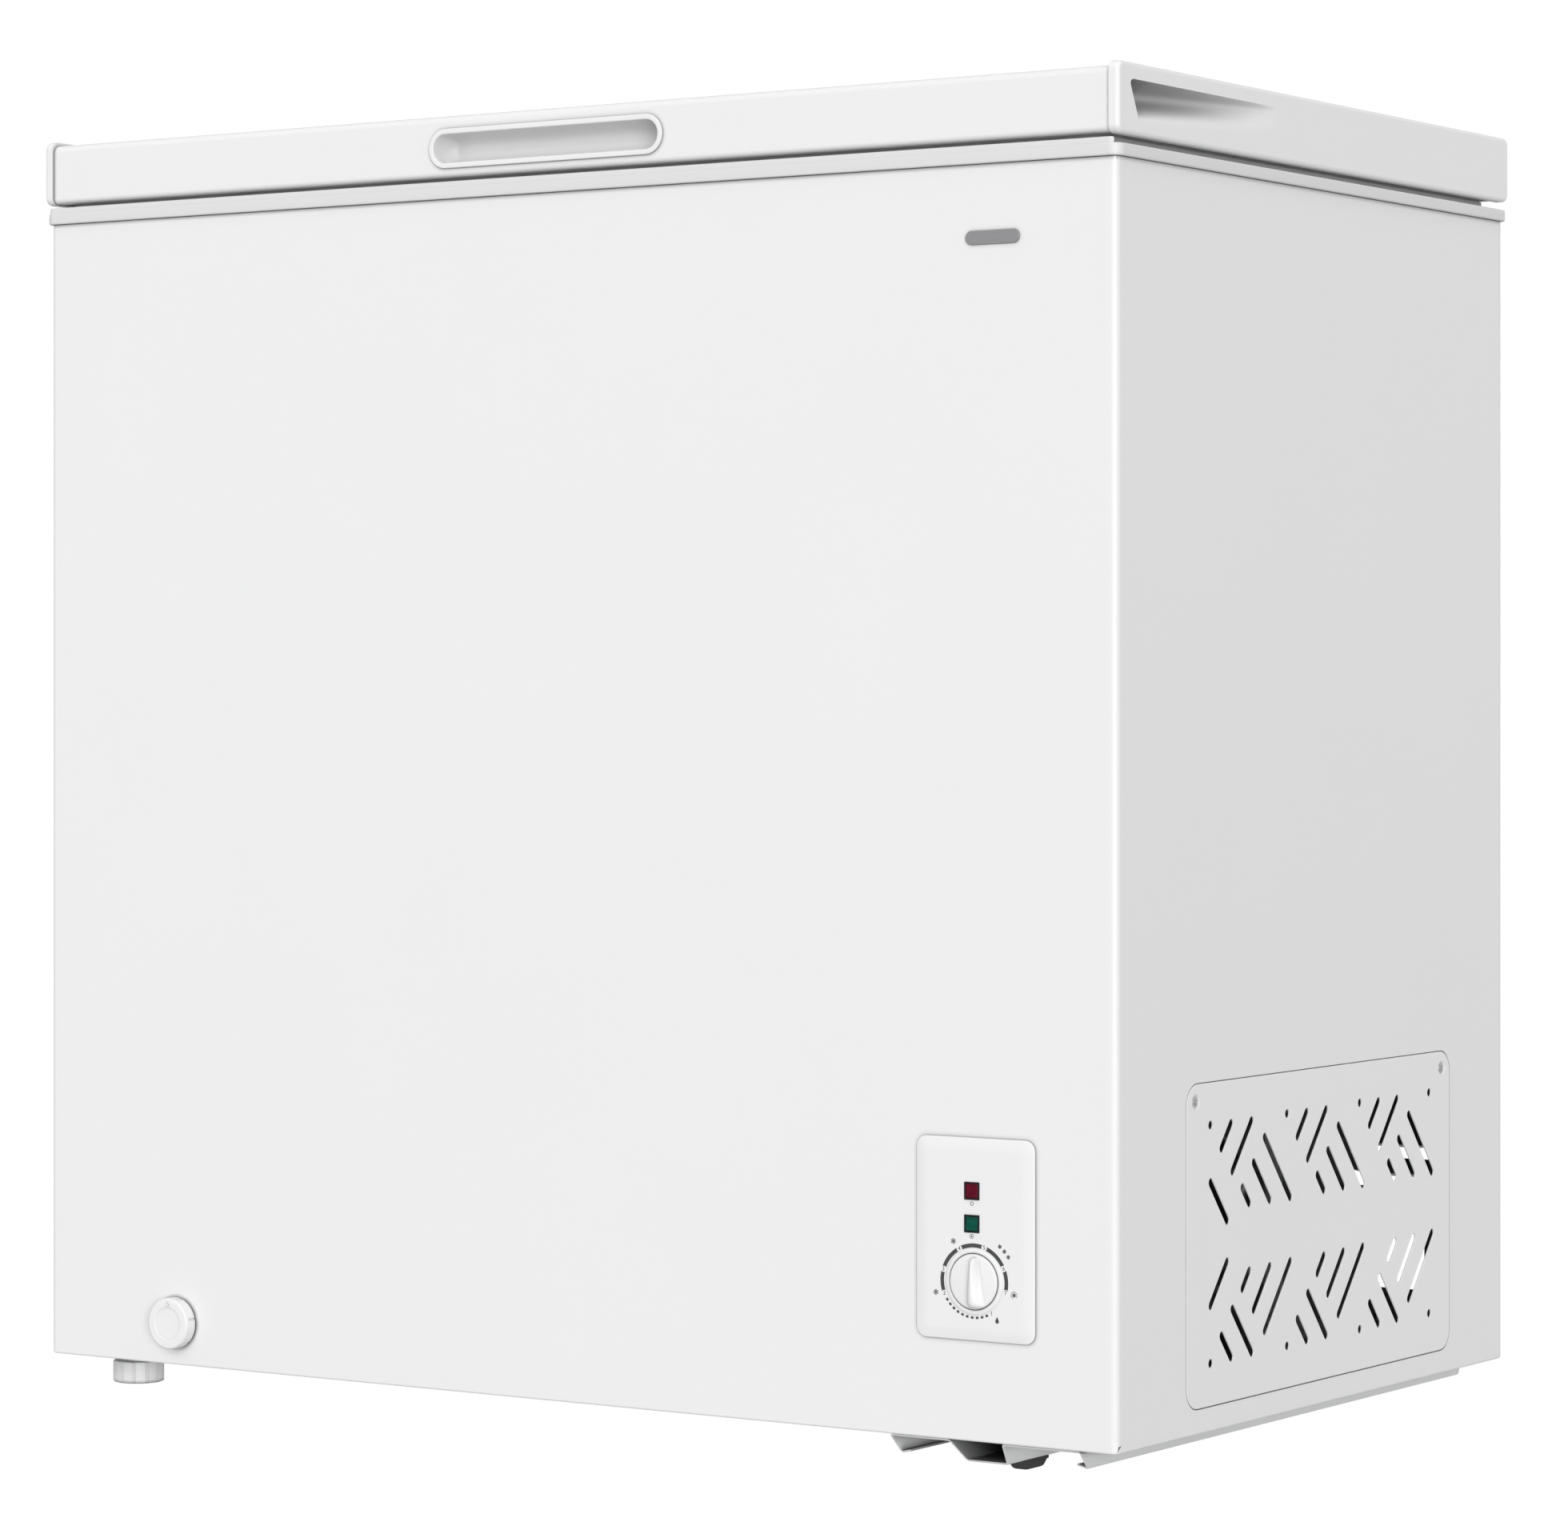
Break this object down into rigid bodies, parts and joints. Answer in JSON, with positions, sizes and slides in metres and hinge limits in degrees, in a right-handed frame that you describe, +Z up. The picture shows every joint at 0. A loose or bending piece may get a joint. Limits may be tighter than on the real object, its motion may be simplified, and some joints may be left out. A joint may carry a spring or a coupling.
{
  "type": "chest freezer",
  "caption": "Top-opening chest freezer with a hinged insulated lid, a stepped tub, a side vent grille, a control panel with a dial and a hanging basket.",
  "frame": {"origin": "on the floor, at the centre of the whole footprint, hinges and knob included", "axes": "+Z up, the front with the handle and the dial faces -Y, the compressor bay and its grille are on the +X side"},
  "size_m": [0.841, 0.566, 0.845],
  "materials": {
    "white_steel": "gloss",
    "white_plastic": "satin",
    "liner_metal": "satin",
    "foam": "matte",
    "seal_rubber": "satin",
    "black_rubber": "matte",
    "zinc_steel": "satin",
    "copper": "satin",
    "steel_tube": "satin",
    "black_paint": "gloss",
    "black_plastic": "satin",
    "red_lens": "gloss",
    "green_lens": "gloss",
    "badge_metal": "satin",
    "basket_wire": "gloss"
  },
  "bodies": {
    "cabinet": {"outer_shell": "white_steel", "back_panel": "white_steel", "collar_frame": "white_plastic", "vent_grille": "white_plastic", "control_panel": "white_plastic", "drain_tube": "white_plastic", "thermostat_body": "white_plastic", "inner_liner": "liner_metal", "foam_insulation": "foam", "skid_foot_front": "black_rubber", "skid_foot_rear": "black_rubber", "compressor_mount_1": "black_rubber", "compressor_mount_2": "black_rubber", "compressor_mount_3": "black_rubber", "compressor_mount_4": "black_rubber", "bottom_panel": "zinc_steel", "housing_panel": "zinc_steel", "compressor_base_plate": "zinc_steel", "base_runner": "zinc_steel", "rear_cover": "zinc_steel", "vent_screw_1": "zinc_steel", "vent_screw_2": "zinc_steel", "hinge_base_left": "zinc_steel", "hinge_base_right": "zinc_steel", "hinge_pin_left": "zinc_steel", "hinge_pin_right": "zinc_steel", "hinge_spring_left": "zinc_steel", "hinge_spring_right": "zinc_steel", "evaporator_coil": "copper", "filter_drier": "copper", "suction_tube": "copper", "discharge_tube": "copper", "liquid_tube": "copper", "capillary_tube": "copper", "thermostat_sensor_tube": "copper", "condenser_coil": "steel_tube", "compressor": "black_paint", "relay_cover": "black_plastic", "cord_gland": "black_plastic", "power_lamp_bezel": "black_plastic", "run_lamp_bezel": "black_plastic", "power_lamp": "red_lens", "run_lamp": "green_lens", "badge": "badge_metal"},
    "lid": {"lid_outer_panel": "white_steel", "lid_end_cap_left": "white_plastic", "lid_end_cap_right": "white_plastic", "lid_inner_panel": "white_plastic", "lid_foam": "foam", "lid_gasket": "seal_rubber", "handle_insert": "white_plastic", "hinge_arm_left": "zinc_steel", "hinge_arm_right": "zinc_steel"},
    "control_knob": {"knob": "white_plastic", "thermostat_shaft": "zinc_steel"},
    "outlet_cap": {"drain_cap": "white_plastic"},
    "drain_stopper": {"drain_plug": "white_plastic"},
    "basket": {"storage_basket": "basket_wire"},
    "front_foot": {"foot_front_left": "white_plastic"},
    "rear_foot": {"foot_rear_left": "white_plastic"}
  },
  "joints": [
    {"name": "lid_hinge", "type": "hinge", "parent": "cabinet", "child": "lid", "pos_m": [0, 0.271, 0.801], "axis": [-1, 0, 0], "range_deg": [0, 80]},
    {"name": "knob_turn", "type": "hinge", "parent": "cabinet", "child": "control_knob", "pos_m": [0.3205, -0.265, 0.1176], "axis": [0, 1, 0], "range_deg": [-212.5, 104.6]},
    {"name": "drain_cap_turn", "type": "hinge", "parent": "cabinet", "child": "outlet_cap", "pos_m": [-0.3057, -0.2653, 0.0495], "axis": [0, -1, 0], "range_deg": [0, 180]},
    {"name": "drain_plug_lift", "type": "slide", "parent": "cabinet", "child": "drain_stopper", "axis": [0, 0, 1], "range_m": [0, 0.03]},
    {"name": "basket_slide", "type": "slide", "parent": "cabinet", "child": "basket", "axis": [1, 0, 0], "range_m": [-0.46, 0]},
    {"name": "front_foot_turn", "type": "hinge", "parent": "cabinet", "child": "front_foot", "pos_m": [-0.378, -0.22, 0], "axis": [0, 0, 1], "range_deg": [-360, 360]},
    {"name": "rear_foot_turn", "type": "hinge", "parent": "cabinet", "child": "rear_foot", "pos_m": [-0.378, 0.2135, 0], "axis": [0, 0, 1], "range_deg": [-360, 360]}
  ]
}
